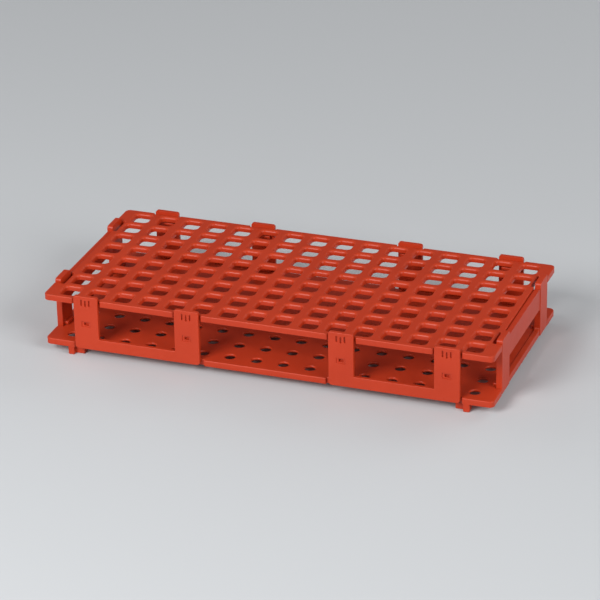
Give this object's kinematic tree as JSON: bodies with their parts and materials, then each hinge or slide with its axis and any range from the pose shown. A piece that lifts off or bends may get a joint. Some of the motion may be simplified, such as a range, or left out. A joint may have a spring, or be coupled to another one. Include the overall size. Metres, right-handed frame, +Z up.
{
  "type": "microtube rack",
  "caption": "Snap-together rack that holds microtubes upright: perforated top and bottom plates, window end plates, side clips and stacking feet.",
  "frame": {"origin": "middle of the underside of the four feet", "axes": "+X along the length, towards the right end plate; -Y towards the front side clips; +Z up"},
  "size_m": [0.265, 0.126, 0.038],
  "materials": {
    "top_plate": "satin moulded polypropylene, red",
    "bottom_plate": "satin moulded polypropylene, red",
    "end_plate_left": "satin moulded polypropylene, red",
    "end_plate_right": "satin moulded polypropylene, red",
    "side_clip_front_left": "satin moulded polypropylene, red",
    "side_clip_front_right": "satin moulded polypropylene, red",
    "side_clip_rear_left": "satin moulded polypropylene, red",
    "side_clip_rear_right": "satin moulded polypropylene, red"
  },
  "bodies": {
    "base": {"bottom_plate": "bottom_plate"},
    "top": {"top_plate": "top_plate"},
    "end_left": {"end_plate_left": "end_plate_left"},
    "end_right": {"end_plate_right": "end_plate_right"},
    "clip_front_left": {"side_clip_front_left": "side_clip_front_left"},
    "clip_front_right": {"side_clip_front_right": "side_clip_front_right"},
    "clip_rear_left": {"side_clip_rear_left": "side_clip_rear_left"},
    "clip_rear_right": {"side_clip_rear_right": "side_clip_rear_right"}
  },
  "joints": [
    {"name": "top_plate_lift", "type": "slide", "parent": "base", "child": "top", "axis": [0, 0, 1], "range_m": [0, 0.012]},
    {"name": "end_plate_left_pull", "type": "slide", "parent": "base", "child": "end_left", "axis": [-1, 0, 0], "range_m": [0, 0.012]},
    {"name": "end_plate_right_pull", "type": "slide", "parent": "base", "child": "end_right", "axis": [1, 0, 0], "range_m": [0, 0.012]},
    {"name": "side_clip_front_left_pull", "type": "slide", "parent": "base", "child": "clip_front_left", "axis": [0, -1, 0], "range_m": [0, 0.012]},
    {"name": "side_clip_front_right_pull", "type": "slide", "parent": "base", "child": "clip_front_right", "axis": [0, -1, 0], "range_m": [0, 0.012]},
    {"name": "side_clip_rear_left_pull", "type": "slide", "parent": "base", "child": "clip_rear_left", "axis": [0, 1, 0], "range_m": [0, 0.012]},
    {"name": "side_clip_rear_right_pull", "type": "slide", "parent": "base", "child": "clip_rear_right", "axis": [0, 1, 0], "range_m": [0, 0.012]}
  ]
}
